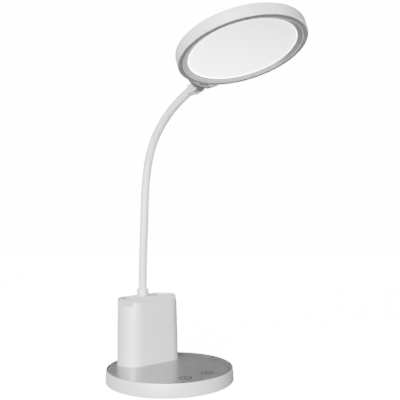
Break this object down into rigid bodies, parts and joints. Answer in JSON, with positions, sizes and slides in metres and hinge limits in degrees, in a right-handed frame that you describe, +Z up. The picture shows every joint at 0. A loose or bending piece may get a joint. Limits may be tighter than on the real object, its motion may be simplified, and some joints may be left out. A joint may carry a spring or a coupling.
{
  "type": "desk lamp with organiser base",
  "caption": "Gooseneck LED desk lamp: round base with touch panel, rear pillar with phone groove and pen wells, bendable neck and tilting round head.",
  "frame": {"origin": "centre of the underside of the rubber feet, on the desk under the middle of the round base", "axes": "+Z up; the head reaches out over -Y, which is the lamp's front; +X is its right-hand side"},
  "size_m": [0.1528, 0.2731, 0.4038],
  "materials": {
    "white_plastic": "satin",
    "grey_panel": "satin, evenly painted",
    "grey_ring": "satin",
    "black_rubber": "matte",
    "sleeve_rubber": "matte silicone skin",
    "steel": "zinc plated",
    "weight_iron": "raw",
    "aluminium": "rolled",
    "board": "glass-fibre board with solder mask",
    "electrode": "conductive foam",
    "cell": "foil pouch",
    "wire": "insulated lead",
    "opal": "opal, lit from behind",
    "guide": "clear acrylic",
    "reflector": "white film",
    "led": "phosphor-filled package",
    "brass": "plain"
  },
  "bodies": {
    "base": {"base_shell": "white_plastic", "base_top_panel": "grey_panel", "base_bottom_cover": "white_plastic", "rubber_feet": "black_rubber", "base_screws": "steel", "weight_plate": "weight_iron", "control_board": "board", "board_screws": "steel", "touch_electrodes": "electrode", "battery_cell": "cell", "charge_board": "board", "charge_socket": "steel", "wire_harness": "wire", "pillar_shell": "white_plastic", "pillar_insert": "white_plastic", "pillar_screws": "steel", "neck_nut": "steel", "neck_ferrule": "white_plastic", "neck_sleeve_0": "sleeve_rubber", "neck_core_0": "steel", "neck_lead_0": "wire"},
    "neck_1": {"neck_sleeve_1": "sleeve_rubber", "neck_core_1": "steel", "neck_lead_1": "wire"},
    "neck_2": {"neck_sleeve_2": "sleeve_rubber", "neck_core_2": "steel", "neck_lead_2": "wire"},
    "neck_3": {"neck_sleeve_3": "sleeve_rubber", "neck_core_3": "steel", "neck_lead_3": "wire"},
    "neck_4": {"neck_sleeve_4": "sleeve_rubber", "neck_core_4": "steel", "neck_lead_4": "wire"},
    "neck_5": {"neck_sleeve_5": "sleeve_rubber", "neck_core_5": "steel", "neck_lead_5": "wire"},
    "neck_6": {"neck_sleeve_6": "sleeve_rubber", "neck_core_6": "steel", "neck_lead_6": "wire", "neck_collar": "white_plastic"},
    "head": {"hinge_pin": "steel", "friction_washers": "brass", "head_bracket": "grey_ring", "bracket_screws": "steel", "head_shell": "white_plastic", "bezel_ring": "grey_ring", "diffuser": "opal", "light_guide": "guide", "led_strip": "reflector", "leds": "led", "reflector_sheet": "reflector", "back_plate": "aluminium", "head_screws": "steel", "head_lead": "wire"}
  },
  "joints": [
    {"name": "neck_bend_1", "type": "hinge", "parent": "base", "child": "neck_1", "pos_m": [0, 0.05461, 0.1205], "axis": [1, 0, 0], "range_deg": [-20, 20]},
    {"name": "neck_bend_2", "type": "hinge", "parent": "neck_1", "child": "neck_2", "pos_m": [0, 0.05195, 0.16742], "axis": [0, -0.9968, -0.0802], "range_deg": [-20, 20]},
    {"name": "neck_bend_3", "type": "hinge", "parent": "neck_2", "child": "neck_3", "pos_m": [0, 0.04867, 0.2143], "axis": [1, 0, 0], "range_deg": [-20, 20]},
    {"name": "neck_bend_4", "type": "hinge", "parent": "neck_3", "child": "neck_4", "pos_m": [0, 0.04068, 0.26052], "axis": [0, -0.9603, -0.279], "range_deg": [-20, 20]},
    {"name": "neck_bend_5", "type": "hinge", "parent": "neck_4", "child": "neck_5", "pos_m": [0, 0.01731, 0.30076], "axis": [1, 0, 0], "range_deg": [-20, 20]},
    {"name": "neck_bend_6", "type": "hinge", "parent": "neck_5", "child": "neck_6", "pos_m": [0, -0.0201, 0.3289], "axis": [0, -0.4695, -0.8829], "range_deg": [-20, 20]},
    {"name": "head_tilt", "type": "hinge", "parent": "neck_6", "child": "head", "pos_m": [0, -0.05708, 0.34231], "axis": [1, 0, 0], "range_deg": [-30, 60]}
  ],
  "couplings": [
    {"joint": "neck_bend_3", "follows": "neck_bend_1", "ratio": 1},
    {"joint": "neck_bend_5", "follows": "neck_bend_1", "ratio": 1},
    {"joint": "neck_bend_4", "follows": "neck_bend_2", "ratio": 1},
    {"joint": "neck_bend_6", "follows": "neck_bend_2", "ratio": 1}
  ]
}
